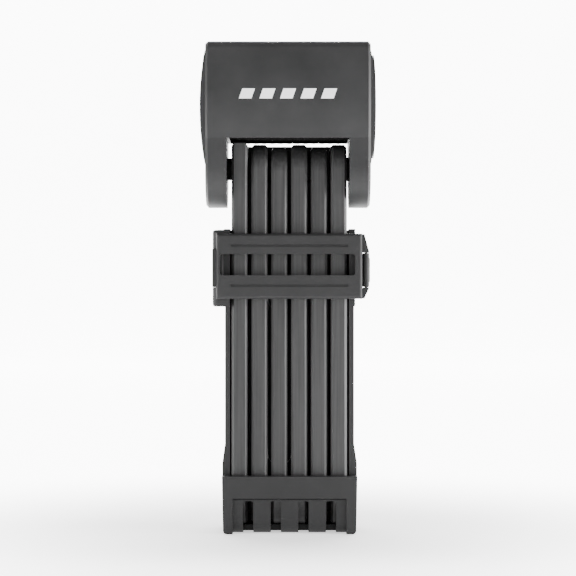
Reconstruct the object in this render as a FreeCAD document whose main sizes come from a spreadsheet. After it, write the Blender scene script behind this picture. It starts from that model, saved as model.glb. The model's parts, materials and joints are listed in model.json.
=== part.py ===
import FreeCAD, Part
import math
import os
import re

# A folding bike lock, folded and standing in its frame holder.
# Millimetres. X runs to the right, Y to the back, Z up. The origin is at the bottom centre.

SIZES = {
    # how far cutting tools run past what they cut, and how far joined blocks run into each other
    "cutter_reach": 100,
    "above_all": 300,
    "below_head": 100,
    "overlap": 1,
    # bars
    "bar_count": 6,
    "bar_pitch": 8,
    "stack_centre": 0.5,
    "steel_thickness": 5,
    "jacket_thickness": 6.5,
    "jacket_wall": 0.75,
    "bar_half_depth": 10,
    "bar_chamfer": 1,
    "low_pivot": 12.7,
    "high_pivot": 147,
    "square_rise": 10,
    "short_drop": 1.2,
    "rivet_radius": 3,
    "rivet_head_radius": 4.8,
    "rivet_clearance": 0.1,
    "jacket_hole_radius": 5,
    # locking stud and bolt
    "stud_radius": 4.5,
    "stud_neck_radius": 2.5,
    "stud_tip": 31.2,
    "neck_outer": 29.7,
    "neck_inner": 27,
    "bolt_outer": 29.4,
    "bolt_inner": 27.3,
    "bolt_half_depth": 6,
    "bolt_length": 34.5,
    "bolt_notch_half": 2.75,
    "bolt_notch_rise": 2.9,
    "channel_outer": 29.6,
    "channel_inner": 27.1,
    "channel_half_depth": 6.2,
    "channel_bottom": 143.2,
    "channel_top": 186.2,
    # lock head
    "head_half_width": 33.2,
    "head_top": 197.7,
    "head_underside": 158.7,
    "head_front": 17,
    "head_rear": 16,
    "brow_depth": 15.2,
    "nose_height": 177,
    "leg_front": 15.6,
    "leg_inner": 24.7,
    "crown_radius": 3.7,
    "head_edge_radius": 1,
    "cover_wall": 1.4,
    "inner_wall": 0.8,
    "cover_parting": 3,
    "cap_reach": 35.5,
    "cap_half_depth": 12,
    "cap_bottom": 148.5,
    "cap_top": 194.5,
    "cap_clearance": 0.15,
    "cap_corner_radius": 4,
    "cap_edge_reach": 33.5,
    "right_cap_face": 34.1,
    "right_cap_slope": 6,
    "lid_gap": 0.1,
    "lid_edge_reach": 34.8,
    "lid_half_depth": 9.5,
    "lid_low": 161,
    "lid_pivot": 184,
    "screw_radius": 1.25,
    "screw_head_radius": 2.6,
    "screw_clearance": 0.1,
    "screw_high": 190,
    "screw_low": 153,
    "screw_across": 28.4,
    "screw_depth": 7,
    # lock cylinder
    "key_height": 176,
    "housing_radius": 7.4,
    "housing_inner": 9,
    "housing_outer": 31.7,
    "plug_radius": 5.5,
    "plug_inner": 10.5,
    "plug_outer": 31,
    "plug_clearance": 0.07,
    "plug_bore_radius": 4.3,
    "tail_radius": 4.6,
    "tail_end": 26.9,
    "crank_radius": 3,
    "crank_pin_radius": 1.25,
    "crank_pin_end": 29.5,
    "crank_clearance": 0.15,
    "keyway_width": 1.8,
    "keyway_half": 3.2,
    "disc_count": 8,
    "disc_pitch": 1.9,
    "disc_thickness": 1.3,
    "disc_radius": 4.2,
    "disc_first": 13.2,
    "sidebar_half": 0.8,
    "sidebar_slot_start": 12.5,
    "sidebar_slot_end": 28.5,
    "sidebar_gap": 0.3,
    "sidebar_sink": 0.15,
    "keyway_start": 11.5,
    "plug_end_wall": 1.7,
    "ring_gap_half": 1,
    # holder
    "cavity_left": 23.4,
    "cavity_right": 24.6,
    "cavity_half_depth": 10.5,
    "floor_top": 2.4,
    "cup_top": 23.1,
    "cup_left": 26.5,
    "cup_right": 27.8,
    "cup_foot_inset": 0.5,
    "cup_front": 14.6,
    "rib_front": 13.4,
    "rib_top": 14.3,
    "rib_left": 22.2,
    "rib_right": 23.4,
    "rib_round": 6,
    "slot_count": 4,
    "slot_pitch": 11.1,
    "slot_first": 16,
    "slot_width": 4.1,
    "slot_top": 13.2,
    "slot_back": 2,
    "slot_corner": 1,
    "slot_below": 3,
    "cup_corner": 1.6,
    "recess_groove_height": 0.6,
    "recess_groove_depth": 0.6,
    "flare_low": 28,
    "flare_high": 36,
    "wall_left": 25.4,
    "wall_right": 26.6,
    "step_height": 91.3,
    "upper_left": 25.8,
    "upper_right": 27.1,
    "wall_top": 122.4,
    "wall_front": 9,
    "back_face": 13.6,
    "tongue_left": 21.5,
    "tongue_right": 22.5,
    "tongue_top": 157,
    # mount on the back: two screws into bottle cage bosses
    "mount_centre": -3.5,
    "mount_height": 62,
    "mount_spacing": 64,
    "mount_face": 17,
    "pad_half_width": 10,
    "pad_half_height": 11,
    "mount_hole_radius": 2.65,
    "mount_sink_radius": 4.8,
    "mount_sink_depth": 3.2,
    # gate
    "hinge_across": 28.1,
    "hinge_front": 9,
    "knuckle_radius": 2.3,
    "hinge_pin_radius": 1.2,
    "hinge_clearance": 0.05,
    "lug_bottom": 91.1,
    "lug_top": 122,
    "lug_round": 1.1,
    "knuckle_bottom": 99.1,
    "knuckle_top": 114.2,
    "knuckle_gap": 0.2,
    "gate_left": 28.8,
    "gate_right": 29.8,
    "gate_front": 14.6,
    "gate_inner": 11.6,
    "gate_bottom": 94.2,
    "gate_top": 120.4,
    "gate_hook_back": 3,
    "gate_hook_inner": 27.6,
    "window_left": 27.4,
    "window_right": 26.9,
    "window_bottom": 103.7,
    "window_top": 112.2,
    "window_corner": 1,
    "gate_corner_radius": 1.2,
    "groove_half_height": 0.5,
    "groove_depth": 0.6,
    "upper_groove": 115.6,
    "lower_groove": 99.6,
    "groove_left": 23,
    "groove_right": 24,
    # latch on the gate's free end
    "latch_across": 31.4,
    "latch_pivot_front": 11.4,
    "latch_half_width": 1.3,
    "latch_back": 2.6,
    "latch_bottom": 99,
    "latch_top": 112.6,
    "latch_pin_radius": 0.7,
    "ear_slope_start": 0.9,
    "pin_reach": 2,
    "ear_gap": 0.2,
}

ALIAS = re.compile(r"[a-z][a-z_]+")
TURN = {
    "x": FreeCAD.Rotation(FreeCAD.Vector(0, 1, 0), 90),
    "y": FreeCAD.Rotation(FreeCAD.Vector(1, 0, 0), -90),
    "z": FreeCAD.Rotation(),
}
ORDER = {"x": "xyz", "y": "yxz", "z": "zxy"}
FAR = "cutter_reach"
SLOPE = math.sqrt(0.5)

doc = FreeCAD.newDocument("folding_lock")
sheet = doc.addObject("Spreadsheet::Sheet", "Sizes")
for row, (alias, value) in enumerate(SIZES.items(), 1):
    sheet.set(f"A{row}", alias)
    sheet.set(f"B{row}", str(value))
    sheet.setAlias(f"B{row}", alias)
doc.recompute()
sub_parts = []


def size(alias):
    return float(getattr(sheet, alias))


def bind(thing, place, formula):
    """Binds a property to a formula of the sheet's aliases."""
    thing.setExpression(place, ALIAS.sub(r"Sizes.\g<0>", formula))


def slab(name, across, deep, tall):
    """A box between two formulas along each axis."""
    box = doc.addObject("Part::Box", name)
    for length, axis, (low, high) in zip(("Length", "Width", "Height"), "xyz", (across, deep, tall)):
        bind(box, length, f"({high}) - ({low})")
        bind(box, f"Placement.Base.{axis}", low)
    return box


def rod(name, along, radius, low, high, first, second):
    """A cylinder along one axis, centred on the other two at first and second."""
    cylinder = doc.addObject("Part::Cylinder", name)
    cylinder.Placement = FreeCAD.Placement(FreeCAD.Vector(), TURN[along])
    bind(cylinder, "Radius", radius)
    bind(cylinder, "Height", f"({high}) - ({low})")
    for axis, formula in zip(ORDER[along], (low, first, second)):
        bind(cylinder, f"Placement.Base.{axis}", formula)
    return cylinder


def fuse(name, *pieces):
    joined = doc.addObject("Part::MultiFuse", name)
    joined.Shapes = list(pieces)
    joined.Refine = True
    return joined


def group(name, pieces):
    """Several separate solids in one sub-part."""
    gathered = doc.addObject("Part::Compound", name)
    gathered.Links = list(pieces)
    return gathered


def cut(name, base, *tools):
    tool = tools[0] if len(tools) == 1 else fuse(name + "_tools", *tools)
    rest = doc.addObject("Part::Cut", name)
    rest.Base = base
    rest.Tool = tool
    rest.Refine = True
    return rest


def common(name, base, tool):
    shared = doc.addObject("Part::Common", name)
    shared.Base = base
    shared.Tool = tool
    return shared


def soften(name, kind, base, amount, wanted):
    """A Part::Fillet or Part::Chamfer of every edge that wanted() picks."""
    doc.recompute()
    edges = [n for n, edge in enumerate(base.Shape.Edges, 1) if wanted(edge.BoundBox)]
    if not edges:
        raise RuntimeError(f"{name}: no edge to soften")
    softened = doc.addObject(kind, name)
    softened.Base = base
    softened.Edges = [(n, size(amount), size(amount)) for n in edges]
    return softened


def pad(name, plane, path, low, high):
    """A body padded from an outline. A path's item is an end point, or an end point and a point
    that the arc to it passes through. The path starts at its last end point."""
    body = doc.addObject("PartDesign::Body", name)
    sketch = body.newObject("Sketcher::SketchObject", name + "_outline")
    support = next(f for f in body.Origin.OriginFeatures if f.Role == plane)
    sketch.AttachmentSupport = (support, "")
    sketch.MapMode = "FlatFace"
    start = FreeCAD.Vector(*path[-1][:2], 0)
    for item in path:
        end = FreeCAD.Vector(*item[:2], 0)
        if len(item) == 2:
            sketch.addGeometry(Part.LineSegment(start, end), False)
        else:
            sketch.addGeometry(Part.Arc(start, FreeCAD.Vector(*item[2:], 0), end), False)
        start = end
    # the XZ plane faces -Y, so its outline starts at the high end and runs towards the low one
    bind(sketch, "AttachmentOffset.Base.z", f"-({high})" if plane == "XZ_Plane" else low)
    feature = body.newObject("PartDesign::Pad", name + "_pad")
    feature.Profile = sketch
    bind(feature, "Length", f"({high}) - ({low})")
    return body


def keep(node, thing):
    """Makes a finished object the sub-part of that name."""
    thing.Label = node
    sub_parts.append(thing)


# ---- bars -----------------------------------------------------------------------------------


def bar_centre(number):
    return f"stack_centre + ({number} - (bar_count + 1) / 2) * bar_pitch"


def bar_path(number, inset):
    half = size("bar_half_depth") - inset
    low, high = size("low_pivot"), size("high_pivot")
    if number in (3, 5):
        high -= size("short_drop")
    path = [(half, low, 0, low - half)]
    if number == 1:
        top = high + size("square_rise") - inset
        path += [(half, top), (-half, top)]
    else:
        path += [(half, high), (-half, high, 0, high + half)]
    return path + [(-half, low)]


def pivot_holes(name, number, radius):
    centre = bar_centre(number)
    return [
        rod(f"{name}_{height}", "x", radius, f"{centre} - steel_thickness", f"{centre} + steel_thickness",
            "0", height)
        for height in ("low_pivot", "high_pivot")
    ]


def make_bar(number):
    centre = bar_centre(number)
    steel_low, steel_high = (f"{centre} {sign} steel_thickness / 2" for sign in "-+")
    name = f"bar_{number}"
    blank = pad(f"{name}_blank", "YZ_Plane", bar_path(number, size("jacket_wall")), steel_low, steel_high)
    keep(name, cut(f"{name}_steel", blank, *pivot_holes(name, number, "rivet_radius + rivet_clearance")))

    jacket_low, jacket_high = (f"{centre} {sign} jacket_thickness / 2" for sign in "-+")
    outer = pad(f"{name}_outer", "YZ_Plane", bar_path(number, 0), jacket_low, jacket_high)
    eased = soften(f"{name}_eased", "Part::Chamfer", outer, "bar_chamfer", lambda box: box.XLength < 0.01)
    holes = pivot_holes(f"{name}_jacket", number, "jacket_hole_radius")
    keep(f"bar_jacket_{number}", cut(f"{name}_jacket", eased, blank, *holes))


def rivet(name, low, high, height):
    """A rivet with a thin flat head at each end, flush with the jackets."""
    return fuse(
        name,
        rod(f"{name}_shank", "x", "rivet_radius", low, high, "0", height),
        rod(f"{name}_left", "x", "rivet_head_radius", f"{low} - jacket_wall", low, "0", height),
        rod(f"{name}_right", "x", "rivet_head_radius", high, f"{high} + jacket_wall", "0", height),
    )


def washer(name, low, high, height):
    return cut(
        name,
        rod(f"{name}_disc", "x", "rivet_head_radius", low, high, "0", height),
        rod(f"{name}_hole", "x", "rivet_radius + rivet_clearance", low, high, "0", height),
    )


def make_pivots():
    washers = []
    for node, height, firsts in (("lower_rivets", "low_pivot", (1, 3, 5)), ("upper_rivets", "high_pivot",
        (2, 4))):
        rivets = []
        for first in firsts:
            left, right = bar_centre(first), bar_centre(first + 1)
            rivets.append(
                rivet(f"rivet_{first}", f"{left} - steel_thickness / 2", f"{right} + steel_thickness / 2",
                    height)
            )
            washers.append(
                washer(f"washer_{first}", f"{left} + steel_thickness / 2", f"{right} - steel_thickness / 2",
                    height)
            )
        keep(node, group(node, rivets))
    last = bar_centre(6)
    leg_face = "leg_inner + inner_wall"
    core_face = "head_half_width - cover_wall"
    washers.append(washer("washer_6", f"{last} + steel_thickness / 2", leg_face, "high_pivot"))
    keep("pivot_washers", group("pivot_washers", washers))
    keep("head_rivet", rivet("head_rivet", f"{last} - steel_thickness / 2", f"{core_face} - jacket_wall",
        "high_pivot"))


def make_stud():
    """The locking stud: riveted through the first bar, with a neck that the bolt drops across."""
    first = bar_centre(1)
    keep(
        "locking_stud",
        fuse(
            "locking_stud",
            rod("stud_head", "x", "rivet_head_radius", f"{first} + steel_thickness / 2",
                f"{first} + jacket_thickness / 2", "0", "high_pivot"),
            rod("stud_shank", "x", "rivet_radius", f"{first} - steel_thickness / 2",
                f"{first} + steel_thickness / 2", "0", "high_pivot"),
            rod("stud_body", "x", "stud_radius", "-neck_inner", f"{first} - steel_thickness / 2", "0",
                "high_pivot"),
            rod("stud_neck", "x", "stud_neck_radius", "-neck_outer", "-neck_inner", "0", "high_pivot"),
            rod("stud_end", "x", "stud_radius", "-stud_tip", "-neck_outer", "0", "high_pivot"),
        ),
    )


# ---- lock head ------------------------------------------------------------------------------


def head_path(inset):
    """The head's side outline: crowned top, bowed front, half-round leg ends."""
    rear = size("head_rear") - inset
    brow = inset - size("brow_depth")
    nose = inset - size("head_front")
    chin = inset - size("leg_front")
    crown = size("crown_radius") - inset
    top = size("head_top") - inset
    shoulder = top - crown
    pivot = size("high_pivot")
    return [
        (rear, shoulder),
        (rear - crown, top, rear - crown + crown * SLOPE, shoulder + crown * SLOPE),
        (brow + crown, top),
        (brow, shoulder, brow + crown - crown * SLOPE, shoulder + crown * SLOPE),
        (chin, size("head_underside"), nose, size("nose_height")),
        (chin, pivot),
        (rear, pivot, (rear + chin) / 2, pivot - (rear - chin) / 2),
    ]


def head_block(name, inset_alias, inset, gap_half, gap_top):
    half = f"head_half_width - {inset_alias}" if inset_alias else "head_half_width"
    block = pad(f"{name}_block", "YZ_Plane", head_path(inset), f"-({half})", half)
    gap = slab(f"{name}_gap", (f"-({gap_half})", gap_half), (f"-{FAR}", FAR), ("below_head", gap_top))
    return cut(name, block, gap)


def cover_screw_rods(name, radius, front, back):
    return [
        rod(f"{name}_{side}_{number}", "y", radius, front, back, across, height)
        for side, across in (("left", "-screw_across"), ("right", "screw_across"))
        for number, height in enumerate(("screw_high", "screw_low"))
    ]


def make_head():
    envelope = head_block("core_envelope", "cover_wall", size("cover_wall"), "leg_inner + inner_wall",
                          "head_underside + inner_wall")
    raw = head_block("head_raw", "", 0, "leg_inner", "head_underside")
    side = size("head_half_width")
    outer = soften("head_outer", "Part::Chamfer", raw, "head_edge_radius",
                   lambda box: box.XLength < 0.01 and abs(abs(box.XMin) - side) < 0.01)

    core_rear = "head_rear - cover_wall"
    core_side = "head_half_width - cover_wall"
    screw_hole = "screw_radius + screw_clearance"
    keep(
        "head_core",
        cut(
            "head_core",
            envelope,
            rod("cylinder_bore", "x", "housing_radius + screw_clearance", "housing_inner", FAR, "0",
                "key_height"),
            rod("tail_bore", "x", "tail_radius + screw_clearance", "-channel_inner", "housing_inner", "0",
                "key_height"),
            slab("bolt_channel", (f"-{FAR}", "-channel_inner"), ("-channel_half_depth", "channel_half_depth"),
                 ("channel_bottom - screw_clearance", "channel_top")),
            rod("stud_bore", "x", "stud_radius + rivet_clearance", f"-{FAR}", "0", "0", "high_pivot"),
            rod("rivet_bore", "x", "rivet_radius + rivet_clearance", "0", FAR, "0", "high_pivot"),
            rod("rivet_sink", "x", "jacket_hole_radius", f"{core_side} - jacket_wall", FAR, "0",
                "high_pivot"),
            *cover_screw_rods("screw_bore", screw_hole, f"{core_rear} - screw_depth - screw_clearance", FAR),
        ),
    )

    hollow = cut("head_hollow", outer, envelope)
    windows = [
        slab(f"{name}_window", across, ("-cap_half_depth - cap_clearance", "cap_half_depth + cap_clearance"),
             ("cap_bottom - cap_clearance", "cap_top + cap_clearance"))
        for name, across in (("left", (f"-{FAR}", f"-({core_side})")), ("right", (core_side, FAR)))
    ]
    opening = rod("pivot_opening", "x", "jacket_hole_radius", "cover_wall - head_half_width",
                  "head_half_width - cover_wall", "0", "high_pivot")
    sinks = cover_screw_rods("screw_sink", "screw_head_radius + screw_clearance", core_rear, FAR)
    shell = cut("shell", hollow, *windows, opening, *sinks)
    for node, deep in (("head_front_cover", (f"-{FAR}", "cover_parting")), ("head_rear_cover",
        ("cover_parting", FAR))):
        half = slab(f"{node}_half", (f"-{FAR}", FAR), deep, ("0", "above_all"))
        keep(node, common(node, shell, half))

    screws = [
        fuse(f"cover_screw_{number}", shank, head)
        for number, (shank, head) in enumerate(
            zip(
                cover_screw_rods("shank", "screw_radius", f"{core_rear} - screw_depth", core_rear),
                cover_screw_rods("button", "screw_head_radius", core_rear, "head_rear - screw_clearance"),
            )
        )
    ]
    keep("cover_screws", group("cover_screws", screws))


def cornered_column(name, across, half_depth, bottom, top):
    """A block with rounded corners, which trims a side outline to its shape seen from the side."""
    block = slab(f"{name}_block", across, (f"-({half_depth})", half_depth), (bottom, top))
    return soften(f"{name}_cornered", "Part::Fillet", block, "cap_corner_radius",
                  lambda box: box.YLength < 0.01 and box.ZLength < 0.01)


def make_caps():
    core_side = "head_half_width - cover_wall"
    inner = size("head_half_width") - size("cover_wall")
    bottom, top = size("cap_bottom"), size("cap_top")
    edge, reach = size("cap_edge_reach"), size("cap_reach")
    left_path = [(-inner, top), (-edge, top), (-edge, bottom, -reach, (bottom + top) / 2), (-inner, bottom)]
    left = pad("left_bow", "XZ_Plane", left_path, "-cap_half_depth - overlap", "cap_half_depth + overlap")
    trim = cornered_column("left_trim", (f"-{FAR}", "0"), "cap_half_depth", "cap_bottom", "cap_top")
    keep("left_cap", common("left_cap", left, trim))

    face, slope = size("right_cap_face"), size("right_cap_slope")
    right_path = [(inner, bottom), (edge, bottom), (face, bottom + slope), (face, top - slope), (edge, top),
                  (inner, top)]
    right = pad("right_plate", "XZ_Plane", right_path, "-cap_half_depth - overlap",
        "cap_half_depth + overlap")
    trim = cornered_column("right_trim", ("0", FAR), "cap_half_depth", "cap_bottom", "cap_top")
    keyhole = rod("keyhole", "x", "plug_radius", "0", FAR, "0", "key_height")
    screw = rod("lid_screw_bore", "x", "screw_radius + hinge_clearance", "0", FAR, "0", "lid_pivot")
    keep("right_cap", cut("right_cap", common("right_cap_blank", right, trim), keyhole, screw))

    lid_face = face + size("lid_gap")
    low = size("lid_low") - size("lid_half_depth")
    high = size("lid_pivot") + size("lid_half_depth")
    lid_edge = size("lid_edge_reach")
    lid_path = [(lid_face, low), (lid_edge, low), (lid_edge, high, reach, (low + high) / 2), (lid_face, high)]
    bowed = pad("lid_bow", "XZ_Plane", lid_path, "-lid_half_depth - overlap", "lid_half_depth + overlap")
    outline = fuse(
        "lid_outline",
        rod("lid_top", "x", "lid_half_depth", "0", FAR, "0", "lid_pivot"),
        rod("lid_bottom", "x", "lid_half_depth", "0", FAR, "0", "lid_low"),
        slab("lid_middle", ("0", FAR), ("-lid_half_depth", "lid_half_depth"), ("lid_low", "lid_pivot")),
    )
    seat = rod("lid_seat", "x", "screw_head_radius + hinge_clearance", "lid_edge_reach", FAR, "0",
        "lid_pivot")
    bore = rod("lid_bore", "x", "screw_radius + hinge_clearance", "0", FAR, "0", "lid_pivot")
    keep("keyhole_cover", cut("keyhole_cover", common("lid_blank", bowed, outline), seat, bore))
    seat_face = "lid_edge_reach + hinge_clearance"
    keep(
        "keyhole_cover_screw",
        fuse(
            "keyhole_cover_screw",
            rod("lid_shank", "x", "screw_radius", core_side, seat_face, "0", "lid_pivot"),
            rod("lid_button", "x", "screw_head_radius", seat_face, "cap_reach - hinge_clearance", "0",
                "lid_pivot"),
        ),
    )


# ---- lock cylinder and bolt -----------------------------------------------------------------


def make_cylinder():
    body = rod("housing_tube", "x", "housing_radius", "housing_inner", "housing_outer", "0", "key_height")
    keep(
        "cylinder_housing",
        cut(
            "cylinder_housing",
            body,
            rod("housing_bore", "x", "plug_radius + plug_clearance", "plug_inner - screw_clearance", FAR, "0",
                "key_height"),
            rod("housing_tail", "x", "tail_radius + plug_clearance", "0", FAR, "0", "key_height"),
            rod("ring_groove", "x", "plug_radius + jacket_wall", "plug_outer + plug_clearance",
                "housing_outer - screw_clearance", "0", "key_height"),
        ),
    )
    ring = rod("ring_disc", "x", "plug_radius + jacket_wall - screw_clearance",
        "plug_outer + 2 * plug_clearance",
               "housing_outer - 2 * screw_clearance", "0", "key_height")
    ring_hole = rod("ring_hole", "x", "tail_radius", "0", FAR, "0", "key_height")
    ring_gap = slab("ring_gap", ("0", FAR), ("-ring_gap_half", "ring_gap_half"), ("0", "key_height"))
    keep("plug_retaining_ring", cut("plug_retaining_ring", ring, ring_hole, ring_gap))


def keyway(name):
    return slab(name, ("keyway_start", FAR), ("-keyway_width / 2", "keyway_width / 2"),
                ("key_height - keyway_half", "key_height + keyway_half"))


def crank_pin_place():
    """The pin sits 45 degrees below level while the lock is shut, so its travel is even about level."""
    return f"crank_radius * {SLOPE:.6f}", f"key_height - crank_radius * {SLOPE:.6f}"


def make_plug():
    pin_y, pin_z = crank_pin_place()
    solid = fuse(
        "plug_solid",
        rod("plug_barrel", "x", "plug_radius", "plug_inner", "plug_outer", "0", "key_height"),
        rod("plug_tail", "x", "tail_radius", "-tail_end", "plug_inner", "0", "key_height"),
        rod("crank_pin", "x", "crank_pin_radius", "-crank_pin_end", "-tail_end", pin_y, pin_z),
    )
    bore = rod("plug_bore", "x", "plug_bore_radius", "plug_inner + plug_end_wall",
        "plug_outer - plug_end_wall", "0", "key_height")
    slot = slab("sidebar_slot", ("sidebar_slot_start", "sidebar_slot_end"),
                ("-sidebar_half - screw_clearance", "sidebar_half + screw_clearance"),
                ("key_height", "key_height + plug_radius + overlap"))
    keep("key_plug", cut("key_plug", solid, bore, slot, keyway("plug_keyway")))

    discs = []
    for number in range(int(size("disc_count"))):
        low = f"disc_first + {number} * disc_pitch"
        blank = rod(f"disc_{number}", "x", "disc_radius", low, f"{low} + disc_thickness", "0", "key_height")
        discs.append(cut(f"disc_{number}_cut", blank, keyway(f"disc_{number}_keyway")))
    keep("disc_tumblers", group("disc_tumblers", discs))
    keep("sidebar", slab("sidebar", ("sidebar_slot_start + sidebar_gap", "sidebar_slot_end - sidebar_gap"),
        ("-sidebar_half", "sidebar_half"),
                         ("key_height + disc_radius + screw_clearance",
                             "key_height + plug_radius - sidebar_sink")))


def make_bolt():
    _, pin_z = crank_pin_place()
    travel_half = "crank_pin_radius + crank_clearance"
    plate = slab("bolt_plate", ("-bolt_outer", "-bolt_inner"), ("-bolt_half_depth", "bolt_half_depth"),
                 ("high_pivot", "high_pivot + bolt_length"))
    notch = slab("bolt_notch", (f"-{FAR}", "0"), ("-bolt_notch_half", "bolt_notch_half"),
                 ("0", "high_pivot + bolt_notch_rise"))
    yoke = slab("bolt_yoke", (f"-{FAR}", "0"),
                (f"crank_radius * {SLOPE:.6f} - ({travel_half})", f"crank_radius + {travel_half}"),
                (f"{pin_z} - ({travel_half})", f"{pin_z} + {travel_half}"))
    keep("locking_bolt", cut("locking_bolt", plate, notch, yoke))

    cover = slab("bolt_cover_plate_blank", ("cover_wall - head_half_width", "-channel_outer"),
                 ("screw_clearance - channel_half_depth", "channel_half_depth - screw_clearance"),
                 ("channel_bottom", "channel_top - screw_clearance"))
    hole = rod("bolt_cover_hole", "x", "stud_radius + rivet_clearance", f"-{FAR}", "0", "0", "high_pivot")
    keep("bolt_cover_plate", cut("bolt_cover_plate", cover, hole))


# ---- holder ---------------------------------------------------------------------------------


def holder_path(top):
    """The holder's front outline: a cup that flares out of two side walls."""
    inset = size("cup_foot_inset")
    corner = size("cup_corner")
    # the foot leans in, so a corner's arc ends where the leaning side has that height
    left_side = inset * (1 - corner / size("cup_top")) - size("cup_left")
    right_side = size("cup_right") - inset * (1 - corner / size("cup_top"))
    halfway = corner * (1 - math.sqrt(0.5))
    left = [
        (left_side + corner, 0),
        (left_side, corner, left_side + halfway, halfway),
        (-size("cup_left"), size("cup_top")),
        (-size("cup_left"), size("flare_low")),
        (-size("wall_left"), size("flare_high")),
        (-size("wall_left"), size("step_height")),
        (-size("upper_left"), size("step_height")),
        (-size("upper_left"), size("wall_top")),
    ]
    right = [
        (size("upper_right"), size("wall_top")),
        (size("upper_right"), size("step_height")),
        (size("wall_right"), size("step_height")),
        (size("wall_right"), size("flare_high")),
        (size("cup_right"), size("flare_low")),
        (size("cup_right"), size("cup_top")),
        (right_side, corner),
        (right_side - corner, 0, right_side - halfway, halfway),
    ]
    return [point for point in left + right if point[1] <= top]


def knuckle(name, low, high):
    return rod(name, "z", "knuckle_radius", low, high, "-hinge_across", "-hinge_front")


def rounded_tools(name, across, along, upright, corner):
    """Tools for a rectangular hole through the front with rounded corners."""
    left, right = across
    low, high = upright
    tools = [
        slab(f"{name}_wide", across, along, (f"{low} + {corner}", f"{high} - {corner}")),
        slab(f"{name}_tall", (f"{left} + {corner}", f"{right} - {corner}"), along, upright),
    ]
    for side, centre in (("left", f"{left} + {corner}"), ("right", f"{right} - {corner}")):
        for end, height in (("low", f"{low} + {corner}"), ("high", f"{high} - {corner}")):
            tools.append(rod(f"{name}_{side}_{end}", "y", corner, *along, centre, height))
    return tools


def slot_tools():
    tools = []
    for number in range(int(size("slot_count"))):
        centre = f"{number} * slot_pitch - slot_first"
        tools += rounded_tools(f"slot_{number}", (f"{centre} - slot_width / 2", f"{centre} + slot_width / 2"),
                               (f"-{FAR}", "-slot_back"), ("-slot_below", "slot_top"), "slot_corner")
    return tools


def mount_rods(name, radius, low, high):
    return [
        rod(f"{name}_{number}", "y", radius, low, high, "mount_centre",
            f"mount_height {sign} mount_spacing / 2")
        for number, sign in enumerate("-+")
    ]


def make_holder():
    walls = pad("holder_walls", "XZ_Plane", holder_path(size("wall_top")), "-wall_front", "back_face")
    front = pad("cup_front_wall", "XZ_Plane", holder_path(size("cup_top")), "-cup_front", "-wall_front")
    pads = [
        slab(f"pad_{number}", ("mount_centre - pad_half_width", "mount_centre + pad_half_width"),
             ("back_face - overlap", "mount_face"),
             (f"mount_height {sign} mount_spacing / 2 - pad_half_height",
              f"mount_height {sign} mount_spacing / 2 + pad_half_height"))
        for number, sign in enumerate("-+")
    ]
    lugs, webs = [], []
    for number, (low, high) in enumerate(
        (("lug_bottom", "knuckle_bottom - knuckle_gap"), ("knuckle_top + knuckle_gap", "lug_top"))
    ):
        end = size(("lug_bottom", "lug_top")[number])
        lugs.append(soften(f"lug_eased_{number}", "Part::Fillet", knuckle(f"lug_{number}", low, high),
                           "lug_round", lambda box: abs(box.ZMin - end) < 0.01 and box.ZLength < 0.01))
        webs.append(slab(f"lug_web_{number}", ("-hinge_across", "-cavity_left"),
                         ("-hinge_front - knuckle_radius", "knuckle_radius - hinge_front"), (low, high)))
    # the back plate rises as a tongue behind the bars, between the lock head's legs
    tongue = slab("back_tongue", ("-tongue_left", "tongue_right"), ("cavity_half_depth", "back_face"),
                  ("step_height", "tongue_top"))
    body = fuse("holder_body", walls, front, tongue, *pads, *lugs, *webs)

    rib_corner = cut(
        "rib_corner",
        slab("rib_corner_block", ("-rib_left", "rib_right"), ("-rib_front - overlap",
            "rib_round - rib_front"),
             ("-overlap", "rib_round")),
        rod("rib_corner_round", "x", "rib_round", "-rib_left", "rib_right", "rib_round - rib_front",
            "rib_round"),
    )
    keep(
        "holder_frame",
        cut(
            "holder_frame",
            body,
            slab("cavity", ("-cavity_left", "cavity_right"), ("-cavity_half_depth", "cavity_half_depth"),
                 ("floor_top", "above_all")),
            slab("rib_recess", ("-rib_left", "rib_right"), (f"-{FAR}", "-rib_front"), ("-overlap",
                "rib_top")),
            rib_corner,
            slab("recess_groove", ("-rib_left", "rib_right"), (f"-{FAR}", "recess_groove_depth - rib_front"),
                 ("rib_top - recess_groove_height", "rib_top")),
            *slot_tools(),
            rod("hinge_bore", "z", "hinge_pin_radius", "0", "above_all", "-hinge_across", "-hinge_front"),
            *mount_rods("mount_hole", "mount_hole_radius", "0", FAR),
            *mount_rods("mount_sink", "mount_sink_radius", "0", "cavity_half_depth + mount_sink_depth"),
        ),
    )
    keep("gate_hinge_pin", rod("gate_hinge_pin", "z", "hinge_pin_radius", "lug_bottom", "lug_top",
        "-hinge_across",
                               "-hinge_front"))


# ---- gate -----------------------------------------------------------------------------------


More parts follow.
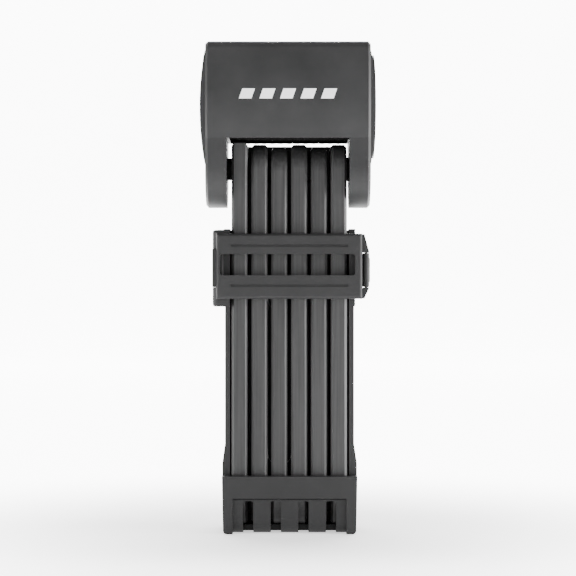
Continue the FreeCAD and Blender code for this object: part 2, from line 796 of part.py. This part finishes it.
def make_gate():
    strap = slab("strap", ("-gate_left", "gate_right"), ("-gate_front", "-gate_inner"), ("gate_bottom",
        "gate_top"))
    hook = slab("gate_hook", ("gate_hook_inner", "gate_right"), ("-gate_front", "-gate_hook_back"),
                ("gate_bottom", "gate_top"))
    bent = fuse("gate_bent", strap, hook)
    rounded = soften("gate_rounded", "Part::Fillet", bent, "gate_corner_radius",
                     lambda box: box.YLength < 0.01 and abs(box.YMin + size("gate_front")) < 0.01)
    root, foot = size("gate_right") - size("overlap"), size("gate_right") + size("ear_slope_start")
    tip = size("latch_across") + size("latch_half_width")
    ears = []
    for name, near, far in (
        ("lower_ear", size("latch_bottom") - size("ear_gap"), size("gate_bottom") + size("ear_gap")),
        ("upper_ear", size("latch_top") + size("ear_gap"), size("gate_top") - size("ear_gap")),
    ):
        ear_path = [(tip, near), (foot, far), (root, far), (root, near)]
        ears.append(pad(name, "XZ_Plane", ear_path, "-latch_pivot_front - latch_half_width",
                        "latch_half_width - latch_pivot_front"))
    solid = fuse(
        "gate_solid",
        rounded,
        knuckle("gate_knuckle", "knuckle_bottom", "knuckle_top"),
        slab("gate_web", ("-hinge_across - knuckle_radius", "-window_left"), ("overlap - gate_front",
            "-hinge_front"),
             ("knuckle_bottom", "knuckle_top")),
        *ears,
    )
    grooves = [
        slab(f"groove_{height}", ("-groove_left", "groove_right"), (f"-{FAR}", "groove_depth - gate_front"),
             (f"{height} - groove_half_height", f"{height} + groove_half_height"))
        for height in ("upper_groove", "lower_groove")
    ]
    keep(
        "gate_strap",
        cut(
            "gate_strap",
            solid,
            *rounded_tools("gate_window", ("-window_left", "window_right"), (f"-{FAR}", "overlap - gate_inner"),
                           ("window_bottom", "window_top"), "window_corner"),
            rod("gate_bore", "z", "hinge_pin_radius + hinge_clearance", "0", "above_all", "-hinge_across",
                "-hinge_front"),
            rod("ear_bore", "z", "latch_pin_radius", "latch_bottom - pin_reach", "latch_top + pin_reach",
                "latch_across", "-latch_pivot_front"),
            *grooves,
        ),
    )

    lever = fuse(
        "latch_lever",
        rod("latch_boss", "z", "latch_half_width", "latch_bottom", "latch_top", "latch_across",
            "-latch_pivot_front"),
        slab("latch_arm", ("latch_across - latch_half_width", "latch_across + latch_half_width"),
             ("-latch_pivot_front", "-latch_back"), ("latch_bottom", "latch_top")),
    )
    tip = soften("latch_eased", "Part::Chamfer", lever, "jacket_wall",
                 lambda box: box.YLength < 0.01 and abs(box.YMin + size("latch_back")) < 0.01
                 and box.XLength > 1)
    keep("gate_latch", cut("gate_latch", tip, rod("latch_bore", "z", "latch_pin_radius + hinge_clearance",
                                                 "0", "above_all", "latch_across", "-latch_pivot_front")))
    keep("latch_pin", rod("latch_pin", "z", "latch_pin_radius", "latch_bottom - pin_reach",
                          "latch_top + pin_reach", "latch_across", "-latch_pivot_front"))


def write_sub_parts():
    doc.recompute()
    for thing in doc.Objects:
        if "Invalid" in thing.State or "Error" in thing.State:
            raise RuntimeError(f"{thing.Name} failed: {thing.State}")
    os.makedirs("parts", exist_ok=True)
    for thing in sub_parts:
        if thing.Shape.isNull() or not thing.Shape.isValid() or not thing.Shape.Solids:
            raise RuntimeError(f"{thing.Label} has no valid solid")
        print(f"{thing.Label}: {len(thing.Shape.Solids)} solid, {thing.Shape.Volume:.1f} mm3")
        thing.Shape.exportStep(f"parts/{thing.Label}.step")


for bar_number in range(1, int(size("bar_count")) + 1):
    make_bar(bar_number)
make_pivots()
make_stud()
make_head()
make_caps()
make_cylinder()
make_plug()
make_bolt()
make_holder()
make_gate()
write_sub_parts()
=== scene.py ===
import json
import math

import bmesh
import bpy
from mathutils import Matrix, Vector
from mathutils.bvhtree import BVHTree


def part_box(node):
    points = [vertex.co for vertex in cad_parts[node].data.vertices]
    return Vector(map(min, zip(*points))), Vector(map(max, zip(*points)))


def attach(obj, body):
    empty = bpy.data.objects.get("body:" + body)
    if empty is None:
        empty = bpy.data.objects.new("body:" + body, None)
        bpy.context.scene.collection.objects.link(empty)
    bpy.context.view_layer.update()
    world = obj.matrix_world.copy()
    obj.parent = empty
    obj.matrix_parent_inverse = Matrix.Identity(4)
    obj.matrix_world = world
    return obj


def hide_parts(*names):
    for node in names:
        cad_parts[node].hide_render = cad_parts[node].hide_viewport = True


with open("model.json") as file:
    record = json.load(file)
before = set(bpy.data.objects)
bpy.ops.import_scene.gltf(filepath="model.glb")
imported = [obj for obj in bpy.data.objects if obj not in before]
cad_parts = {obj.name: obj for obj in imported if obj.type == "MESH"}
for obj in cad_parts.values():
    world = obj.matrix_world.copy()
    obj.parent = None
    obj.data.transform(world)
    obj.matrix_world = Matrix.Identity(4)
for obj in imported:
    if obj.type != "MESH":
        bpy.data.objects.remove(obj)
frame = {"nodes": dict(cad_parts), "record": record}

MM = 0.001
UP = Vector((0, 0, 1))
BACKWARDS = Vector((0, 1, 0))
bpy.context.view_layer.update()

# Camera: square on to the front, level, a little under half way up the lock.
# VIEW_WIDTH is what the picture spans at VIEW_PLANE from the camera.
CAMERA_DISTANCE = 757 * MM
CAMERA_HEIGHT = 98.6 * MM
VIEW_WIDTH = 229.7 * MM
VIEW_PLANE = 740 * MM
SENSOR = 36.0

# Stage: the floor glows as painted light, and its glow dims to a painted shade under the lock:
# where it begins to fade in, where it is fully lit, and how brightly
DARK_FLOOR = 40 * MM
LIT_FLOOR = 260 * MM
UNDER_GLOW = 0.9
FLOOR_GLOW = 8.0
# and along the depth, from the dimmer front to the bright back
DIM_FLOOR = -210 * MM
BRIGHT_FLOOR = -90 * MM
FRONT_SHARE = 0.12
FLOOR_SHADES = (0.86, 0.9)
FLOOR_MOTTLE = 6
FLOOR_ROUGHNESS = 0.9

# Lights: name, place, aim, power, width and height. They aim at the lock's middle or its right cap.
MIDDLE = (0, 0, 0.1)
RIGHT_CAP = (0.03, 0, 0.17)
LIGHTS = [
    ("key", (0, -1.3, 0.12), MIDDLE, 1.0, 0.6, 0.4),
    ("right_fill", (0.85, -0.5, 0.12), MIDDLE, 8.0, 0.25, 0.7),
    ("left_fill", (-0.85, -0.5, 0.15), MIDDLE, 8.0, 0.25, 0.6),
    ("top", (0, 0.1, 1.1), MIDDLE, 1.0, 0.9, 0.9),
    ("right_edge", (0.7, -0.12, 0.18), RIGHT_CAP, 8.0, 0.2, 0.35),
]
WORLD_LIGHT = 0.7

# How deep the surfaces' bumps go
GRAIN_DEPTH = 0.05 * MM
LINE_DEPTH = 0.03 * MM

# Widths of the eased edges on the plastic nodes, in mm
BEVELS = {
    "head_front_cover": 0.9,
    "head_rear_cover": 0.6,
    "holder_frame": 0.45,
    "gate_strap": 0.35,
    "gate_latch": 0.3,
    "left_cap": 0.25,
    "right_cap": 0.2,
    "keyhole_cover": 0.2,
    **{f"bar_jacket_{number}": 0.4 for number in range(1, 7)},
}
BEVEL_SEGMENTS = 3
SHARP_EDGE = math.radians(28)

# Steps around everything turned
AROUND = 48

# The gate's knuckle between the holder's two, as in part.py's sizes
KNUCKLE_LOW = 99.1 * MM
KNUCKLE_HIGH = 114.2 * MM


# ---- materials ------------------------------------------------------------------------------


def new_material(name):
    material = bpy.data.materials.new(name)
    material.use_nodes = True
    nodes = material.node_tree.nodes
    return material, nodes, material.node_tree.links, nodes["Principled BSDF"]


def noise(nodes, links, scale, stretch=(1, 1, 1), detail=4.0):
    """Noise over object coordinates in metres, finer or coarser along each axis."""
    place = nodes.new("ShaderNodeTexCoord")
    mapping = nodes.new("ShaderNodeMapping")
    mapping.inputs["Scale"].default_value = stretch
    texture = nodes.new("ShaderNodeTexNoise")
    texture.inputs["Scale"].default_value = scale
    texture.inputs["Detail"].default_value = detail
    links.new(place.outputs["Object"], mapping.inputs["Vector"])
    links.new(mapping.outputs["Vector"], texture.inputs["Vector"])
    return texture.outputs["Fac"]


def ramp(nodes, links, source, low, high, start=0.3, end=0.7):
    """Maps a grey value to colours or greys between low and high."""
    blend = nodes.new("ShaderNodeValToRGB")
    blend.color_ramp.elements[0].position = start
    blend.color_ramp.elements[1].position = end
    blend.color_ramp.elements[0].color = (*low, 1)
    blend.color_ramp.elements[1].color = (*high, 1)
    links.new(source, blend.inputs["Fac"])
    return blend.outputs["Color"]


def add_math(nodes, links, operation, first, second, third=None):
    """A math node. Its first input is an output; the second may be an output or a number."""
    node = nodes.new("ShaderNodeMath")
    node.operation = operation
    for number, given in enumerate((first, second, third)):
        if isinstance(given, float):
            node.inputs[number].default_value = given
        elif given:
            links.new(given, node.inputs[number])
    return node.outputs["Value"]


def smooth_range(nodes, links, source, reach, levels):
    """Eases from the first level to the second as source goes from reach's start to its end."""
    node = nodes.new("ShaderNodeMapRange")
    node.interpolation_type = "SMOOTHSTEP"
    node.inputs["From Min"].default_value, node.inputs["From Max"].default_value = reach
    node.inputs["To Min"].default_value, node.inputs["To Max"].default_value = levels
    links.new(source, node.inputs["Value"])
    return node.outputs["Result"]


def add_bump(nodes, links, shader, heights, distance):
    """Stacks bumps: heights is a list of (source, strength)."""
    normal = None
    for source, strength in heights:
        bump = nodes.new("ShaderNodeBump")
        bump.inputs["Strength"].default_value = strength
        bump.inputs["Distance"].default_value = distance
        links.new(source, bump.inputs["Height"])
        if normal:
            links.new(normal, bump.inputs["Normal"])
        normal = bump.outputs["Normal"]
    links.new(normal, shader.inputs["Normal"])


def grey(value, tint=0.0):
    return (value, value, value * (1 + tint))


def colour_between(nodes, links, shader, source, low, high, *ends):
    links.new(ramp(nodes, links, source, low, high, *ends), shader.inputs["Base Color"])


def roughness_around(nodes, links, shader, source, rough, spread):
    """Roughness that wanders to either side of rough by spread, with source."""
    wander = ramp(nodes, links, source, grey(rough - spread), grey(rough + spread))
    links.new(wander, shader.inputs["Roughness"])


def moulded_plastic(name, shade, spread, rough, grain, grain_strength):
    """Dark moulded plastic: fine spark-eroded grain, faint cloudy shade and gloss changes."""
    material, nodes, links, shader = new_material(name)
    tint, cloud_strength = 0.03, 0.06
    cloud = noise(nodes, links, 60, detail=6)
    fine = noise(nodes, links, grain, detail=2)
    darker, lighter = grey(shade - spread, tint), grey(shade + spread, tint)
    colour_between(nodes, links, shader, cloud, darker, lighter)
    roughness_around(nodes, links, shader, cloud, rough, 0.05)
    bumps = [(fine, grain_strength), (cloud, cloud_strength)]
    add_bump(nodes, links, shader, bumps, GRAIN_DEPTH)
    shader.inputs["Specular IOR Level"].default_value = 0.25
    return material


def drawn_plastic(name, shade, spread, rough):
    """The bars' jackets: fine streaks along the bar under a soft sheen."""
    material, nodes, links, shader = new_material(name)
    tint, streak_share, broad_share = 0.02, 0.65, 0.35
    streak = noise(nodes, links, 1300, (1, 1, 0.02), detail=5)
    broad = noise(nodes, links, 90, (1, 1, 0.12), detail=3)
    fine = noise(nodes, links, 3000, detail=2)
    rest = add_math(nodes, links, "MULTIPLY", broad, broad_share)
    both = add_math(nodes, links, "MULTIPLY_ADD", streak, streak_share, rest)
    darker, lighter = grey(shade - spread, tint), grey(shade + spread, tint)
    colour_between(nodes, links, shader, both, darker, lighter, 0.38, 0.62)
    roughness_around(nodes, links, shader, streak, rough, 0.1)
    add_bump(nodes, links, shader, [(streak, 0.35), (fine, 0.2)], GRAIN_DEPTH)
    shader.inputs["Specular IOR Level"].default_value = 0.4
    return material


def metal(name, colour, rough, stretch):
    """Brushed or turned metal with fine lines along one way."""
    material, nodes, links, shader = new_material(name)
    lines = noise(nodes, links, 1200, stretch, detail=3)
    darker = tuple(channel * 0.8 for channel in colour)
    colour_between(nodes, links, shader, lines, darker, colour)
    roughness_around(nodes, links, shader, lines, rough, 0.08)
    add_bump(nodes, links, shader, [(lines, 0.25)], LINE_DEPTH)
    shader.inputs["Metallic"].default_value = 1.0
    return material


def blackened_steel(name, shade, rough):
    """Phosphated steel: nearly black, dull, slightly mottled."""
    material, nodes, links, shader = new_material(name)
    mottle = noise(nodes, links, 700, detail=4)
    colour_between(nodes, links, shader, mottle, grey(shade * 0.7), grey(shade * 1.4))
    roughness_around(nodes, links, shader, mottle, rough, 0.06)
    add_bump(nodes, links, shader, [(mottle, 0.2)], LINE_DEPTH)
    shader.inputs["Metallic"].default_value = 0.2
    shader.inputs["Specular IOR Level"].default_value = 0.1
    return material


def painted_shade_black(name, shade):
    """Soft black plastic that hardly shines, even at a grazing angle: painted shade for the sheet
    and washers set where the lock lies in shadow.
    """
    material, nodes, links, shader = new_material(name)
    cloud = noise(nodes, links, 500, detail=4)
    colour_between(nodes, links, shader, cloud, grey(shade * 0.7), grey(shade * 1.3))
    roughness_around(nodes, links, shader, cloud, 0.9, 0.05)
    add_bump(nodes, links, shader, [(cloud, 0.2)], LINE_DEPTH)
    shader.inputs["Specular IOR Level"].default_value = 0.0
    return material


def printed_ink(name, shade, rough):
    """Pale pad-printed ink, very slightly uneven."""
    material, nodes, links, shader = new_material(name)
    patchy = noise(nodes, links, 1500, detail=3)
    colour_between(nodes, links, shader, patchy, grey(shade * 0.93), grey(shade))
    roughness_around(nodes, links, shader, patchy, rough, 0.05)
    return material


def make_materials():
    return {
        "head_plastic": moulded_plastic("head_plastic", 0.017, 0.003, 0.5, 2600, 0.3),
        "cap_plastic": moulded_plastic("cap_plastic", 0.028, 0.003, 0.4, 2600, 0.25),
        "holder_plastic": moulded_plastic("holder_plastic", 0.0125, 0.002, 0.55, 2000, 0.35),
        "bar_plastic": drawn_plastic("bar_plastic", 0.016, 0.007, 0.46),
        "hard_steel": metal("hard_steel", (0.42, 0.43, 0.45), 0.34, (1, 1, 0.05)),
        "black_steel": blackened_steel("black_steel", 0.006, 0.8),
        "screw_steel": metal("screw_steel", (0.09, 0.09, 0.095), 0.4, (1, 1, 1)),
        "lock_brass": metal("lock_brass", (0.72, 0.58, 0.33), 0.3, (1, 0.05, 1)),
        # painted shade: the black of the sheet under the head and of the hinge's washers
        "painted_shade_black": painted_shade_black("painted_shade_black", 0.008),
        "ink": printed_ink("ink", 0.82, 0.5),
    }


# ---- CAD nodes that are shown ---------------------------------------------------------------


def dress_nodes(materials):
    """Each CAD node takes its slot's material, and the plastic ones get eased edges."""
    slots = {part["node"]: part["material_slot"] for part in frame["record"]["subparts"]}
    for node, thing in frame["nodes"].items():
        thing.data.materials.clear()
        thing.data.materials.append(materials[slots[node]])
        if node in BEVELS:
            bevel = thing.modifiers.new("eased_edges", "BEVEL")
            bevel.width = BEVELS[node] * MM
            bevel.segments = BEVEL_SEGMENTS
            bevel.limit_method = "ANGLE"
            bevel.angle_limit = SHARP_EDGE
            bevel.harden_normals = True


# ---- helpers for the pieces -----------------------------------------------------------------


def low_high(node):
    """A node's lowest and highest corners."""
    low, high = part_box(node)
    return Vector(low), Vector(high)


def place_object(name, data):
    thing = bpy.data.objects.new(name, data)
    bpy.context.scene.collection.objects.link(thing)
    return thing


def finish_mesh(made, name, recalculate=True):
    mesh = bpy.data.meshes.new(name)
    if recalculate:
        bmesh.ops.recalc_face_normals(made, faces=made.faces)
    made.to_mesh(mesh)
    made.free()
    return mesh


def add_piece(name, mesh, material, body):
    thing = place_object(name, mesh)
    mesh.materials.append(material)
    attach(thing, body)
    return thing


def thicken(thing, name, thickness):
    """Gives a sheet its thickness, half to each side."""
    solid = thing.modifiers.new(name, "SOLIDIFY")
    solid.thickness = thickness
    solid.offset = 0


def surface_of(node):
    """A ray-castable copy of a node's mesh."""
    made = bmesh.new()
    made.from_mesh(frame["nodes"][node].data)
    tree = BVHTree.FromBMesh(made)
    made.free()
    return tree


def join_loops(made, loops):
    """Faces between each closed loop of vertices and the next."""
    for one, two in zip(loops, loops[1:]):
        for step in range(len(one)):
            after = (step + 1) % len(one)
            made.faces.new((one[step], one[after], two[after], two[step]))


def spun(made, rings, place, outward):
    """Skins rings about an axis.

    A ring is (height, radius), or (height, half its width across flats, True) for a hexagon.
    """
    turn = UP.rotation_difference(Vector(outward))
    sixth = math.pi / 3
    skins = []
    for height, radius, *hexagon in rings:
        skin = []
        for step in range(AROUND):
            angle = 2 * math.pi * step / AROUND
            reach = radius / math.cos(angle % sixth - sixth / 2) if hexagon else radius
            point = Vector((reach * math.cos(angle), reach * math.sin(angle), height))
            skin.append(made.verts.new(Vector(place) + turn @ point))
        skins.append(skin)
    join_loops(made, skins)
    made.faces.new(skins[0])
    made.faces.new(skins[-1])


def socket_screw_rings(length, head, shank_radius, head_radius):
    """A button head screw, from its tip at 0 to its head's top at length, with a hexagon socket."""
    seat = length - head
    socket, depth, dome = head_radius * 0.48, head * 0.75, head * 0.45
    return [
        # chamfered tip and shank
        (0, shank_radius * 0.7),
        (shank_radius * 0.3, shank_radius),
        (seat, shank_radius),
        # head with a domed edge
        (seat, head_radius),
        (length - dome, head_radius),
        (length - dome * 0.35, head_radius * 0.9),
        (length, head_radius * 0.68),
        # socket with a drilled bottom
        (length, socket, True),
        (length - depth, socket, True),
        (length - depth * 1.1, socket * 0.5),
    ]


# ---- pieces ---------------------------------------------------------------------------------


def cover_screws(material):
    """Four socket screws in the head's rear cover."""
    low, high = low_high("cover_screws")
    head_radius, shank_radius, head = 2.6 * MM, 1.25 * MM, 1.3 * MM
    rings = socket_screw_rings(high.y - low.y, head, shank_radius, head_radius)
    made = bmesh.new()
    for across in (low.x + head_radius, high.x - head_radius):
        for height in (low.z + head_radius, high.z - head_radius):
            spun(made, rings, (across, low.y, height), BACKWARDS)
    mesh = finish_mesh(made, "cover_socket_screws")
    screws = add_piece("cover_socket_screws", mesh, material, "lock")
    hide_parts("cover_screws")


def lid_screw(material):
    """The keyhole cover turns on this screw."""
    low, high = low_high("keyhole_cover_screw")
    middle = (low + high) / 2
    head_radius, shank_radius, head = (high.y - low.y) / 2, 1.25 * MM, 0.6 * MM
    rings = socket_screw_rings(high.x - low.x, head, shank_radius, head_radius)
    made = bmesh.new()
    spun(made, rings, (low.x, middle.y, middle.z), (1, 0, 0))
    mesh = finish_mesh(made, "lid_socket_screw")
    screw = add_piece("lid_socket_screw", mesh, material, "lock")
    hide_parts("keyhole_cover_screw")


def latch_grips(material):
    """Moulded finger ridges on the latch's outer face."""
    low, high = low_high("gate_latch")
    count, arc_steps = 5, 8
    half_width, lift, sunk, margin = 0.45 * MM, 0.35 * MM, 0.05 * MM, 1.8 * MM
    taper, end_share = margin * 1.3, 0.5
    foot = high.x - sunk
    back, front = high.y - margin, low.y + margin
    made = bmesh.new()
    for number in range(count):
        y = front + (back - front) * number / (count - 1)
        angles = [math.pi * step / arc_steps for step in range(arc_steps + 1)]
        ridge = [(lift * math.sin(angle), half_width * math.cos(angle)) for angle in angles]
        sections = [
            (low.z + margin, end_share),
            (low.z + taper, 1),
            (high.z - taper, 1),
            (high.z - margin, end_share),
        ]
        loops = [
            [
                made.verts.new((foot + out * share, y + along * share, height))
                for out, along in ridge
            ]
            for height, share in sections
        ]
        join_loops(made, loops)
        made.faces.new(loops[0])
        made.faces.new(loops[-1])
    mesh = finish_mesh(made, "latch_grips")
    add_piece("latch_grips", mesh, material, "latch")


def head_shade_sheet(material):
    """A dull black, ribbed sheet moulded to the head's underside, between the legs: painted shade
    standing where the underside lies in shadow.
    """
    trees = [surface_of(node) for node in ("head_core", "head_front_cover", "head_rear_cover")]
    first, *_, last = sorted(low_high(f"bar_jacket_{number}")[0].x for number in range(1, 7))
    jacket = low_high("bar_jacket_6")[1].x - last
    low, high = low_high("head_core")
    left, right = first - 0.8 * MM, last + jacket + 0.6 * MM
    inset, room = 0.4 * MM, 0.3 * MM
    front, back = low.y + inset, high.y - inset
    under = low_high("bar_jacket_1")[1].z + room
    columns, rows, columns_per_rib = 84, 16, 6
    thickness, rib, clearance = 0.25 * MM, 0.15 * MM, 0.03 * MM
    made = bmesh.new()
    grid = []
    for row in range(rows + 1):
        line = []
        for column in range(columns + 1):
            across = left + (right - left) * column / columns
            depth = front + (back - front) * row / rows
            start = Vector((across, depth, under))
            hits = [tree.ray_cast(start, UP)[0] for tree in trees]
            ceiling = min(hit.z for hit in hits if hit)
            ripple = rib * (0.5 + 0.5 * math.cos(2 * math.pi * column / columns_per_rib))
            line.append(made.verts.new((across, depth, ceiling - clearance - ripple)))
        grid.append(line)
    for near, far in zip(grid, grid[1:]):
        for column in range(columns):
            made.faces.new((near[column], far[column], far[column + 1], near[column + 1]))
    mesh = finish_mesh(made, "head_shade_sheet")
    shade_sheet = add_piece("head_shade_sheet", mesh, material, "lock")
    thicken(shade_sheet, "shade_sheet_depth", thickness)


def hinge_gap_shade_washers(material):
    """Thin washers in the two gaps between the hinge's knuckles; their dull black is painted shade,
    filling the gaps where the hinge lies in shadow.
    """
    pin_low, pin_high = low_high("gate_hinge_pin")
    middle = (pin_low + pin_high) / 2
    bore = (pin_high.x - pin_low.x) / 2 + 0.05 * MM
    rim, thickness, gap = 2.2 * MM, 0.16 * MM, 0.2 * MM
    flat = rim - thickness / 2
    profile = [(bore, -0.5), (flat, -0.5), (rim, 0), (flat, 0.5), (bore, 0.5)]
    made = bmesh.new()
    for height in (KNUCKLE_LOW - gap / 2, KNUCKLE_HIGH + gap / 2):
        loops = []
        for radius, level in profile:
            angles = [2 * math.pi * step / AROUND for step in range(AROUND)]
            loops.append([
                made.verts.new((middle.x + radius * math.cos(angle),
                                middle.y + radius * math.sin(angle),
                                height + level * thickness))
                for angle in angles
            ])
        join_loops(made, loops + loops[:1])
    mesh = finish_mesh(made, "hinge_gap_shade_washers")
    add_piece("hinge_gap_shade_washers", mesh, material, "holder")


def head_marks(material):
    """Generic slanted marks printed on the head's bowed front."""
    tree = surface_of("head_front_cover")
    mark_bottom, mark_top = 174.2 * MM, 178.2 * MM
    width, pitch, slant, count = 5.0 * MM, 8.2 * MM, 1.4 * MM, 5
    rows, columns = 8, 6
    lift, well_in_front = 0.04 * MM, -100 * MM
    made = bmesh.new()
    for number in range(count):
        centre = (number - (count - 1) / 2) * pitch
        grid = []
        for row in range(rows + 1):
            up = row / rows
            height = mark_bottom + up * (mark_top - mark_bottom)
            line = []
            for column in range(columns + 1):
                across = centre + (column / columns - 0.5) * width + (up - 0.5) * slant
                hit, *_ = tree.ray_cast(Vector((across, well_in_front, height)), BACKWARDS)
                line.append(made.verts.new((across, hit.y - lift, height)))
            grid.append(line)
        for lower, upper in zip(grid, grid[1:]):
            for column in range(columns):
                after = column + 1
                made.faces.new((lower[column], lower[after], upper[after], upper[column]))
    mesh = finish_mesh(made, "head_marks", recalculate=False)
    marks = add_piece("head_marks", mesh, material, "lock")
    thicken(marks, "ink_film", 2 * lift)


# ---- stage ----------------------------------------------------------------------------------


def stage_material():
    material, nodes, links, shader = new_material("pale_glowing_floor")
    mottle = noise(nodes, links, FLOOR_MOTTLE, detail=3)
    colour_between(nodes, links, shader, mottle, *(grey(shade) for shade in FLOOR_SHADES))
    shader.inputs["Roughness"].default_value = FLOOR_ROUGHNESS
    shader.inputs["Emission Color"].default_value = (1, 1, 1, 1)
    # painted light: the floor glows most behind the lock, less in front of it, and hardly at all
    # under it, a painted shade under the lock
    place = nodes.new("ShaderNodeTexCoord")
    distance = nodes.new("ShaderNodeVectorMath")
    distance.operation = "LENGTH"
    links.new(place.outputs["Object"], distance.inputs[0])
    apart = nodes.new("ShaderNodeSeparateXYZ")
    links.new(place.outputs["Object"], apart.inputs["Vector"])
    around = smooth_range(nodes, links, distance.outputs["Value"],
                          (DARK_FLOOR, LIT_FLOOR), (UNDER_GLOW, FLOOR_GLOW))
    front = smooth_range(nodes, links, apart.outputs["Y"],
                         (DIM_FLOOR, BRIGHT_FLOOR), (FRONT_SHARE, 1.0))
    glow = add_math(nodes, links, "MULTIPLY", around, front)
    links.new(glow, shader.inputs["Emission Strength"])
    return material


def make_floor():
    """A pale floor that curves up into a backdrop."""
    half, front, back, radius, rise, steps = 3.0, -2.0, 1.6, 0.8, 3.0, 16
    profile = [(front, 0.0), (back, 0.0)]
    profile += [
        (back + radius * math.sin(angle), radius * (1 - math.cos(angle)))
        for angle in (math.pi / 2 * step / steps for step in range(1, steps + 1))
    ]
    profile.append((back + radius, rise))
    made = bmesh.new()
    rows = [[made.verts.new((side * half, y, z)) for side in (-1, 1)] for y, z in profile]
    for low, high in zip(rows, rows[1:]):
        made.faces.new((low[0], low[1], high[1], high[0]))
    mesh = finish_mesh(made, "floor", recalculate=False)
    for face in mesh.polygons:
        face.use_smooth = True
    mesh.materials.append(stage_material())
    place_object("floor", mesh)


def area_light(name, place, aim, power, width, height):
    light = bpy.data.lights.new(name, "AREA")
    light.shape = "RECTANGLE"
    light.size, light.size_y = width, height
    light.energy = power
    lamp = place_object(name, light)
    lamp.location = place
    lamp.rotation_euler = (Vector(aim) - Vector(place)).to_track_quat("-Z", "Y").to_euler()


def make_lights():
    for light in LIGHTS:
        area_light(*light)
    world = bpy.data.worlds.new("studio")
    world.use_nodes = True
    background = world.node_tree.nodes["Background"]
    background.inputs["Color"].default_value = (1, 1, 1, 1)
    background.inputs["Strength"].default_value = WORLD_LIGHT
    bpy.context.scene.world = world


def make_camera():
    lens = bpy.data.cameras.new("camera")
    lens.sensor_width = SENSOR
    lens.lens = SENSOR * VIEW_PLANE / VIEW_WIDTH
    camera = place_object("camera", lens)
    camera.location = (0, -CAMERA_DISTANCE, CAMERA_HEIGHT)
    camera.rotation_euler = (math.pi / 2, 0, 0)
    bpy.context.scene.camera = camera


materials = make_materials()
dress_nodes(materials)
head_marks(materials["ink"])
cover_screws(materials["screw_steel"])
lid_screw(materials["screw_steel"])
latch_grips(materials["holder_plastic"])
# painted shade: a dark sheet under the head, where the underside lies in shadow
head_shade_sheet(materials["painted_shade_black"])
# painted shade: dark washers filling the hinge's gaps, which lie in shadow
hinge_gap_shade_washers(materials["painted_shade_black"])
make_floor()
make_lights()
make_camera()
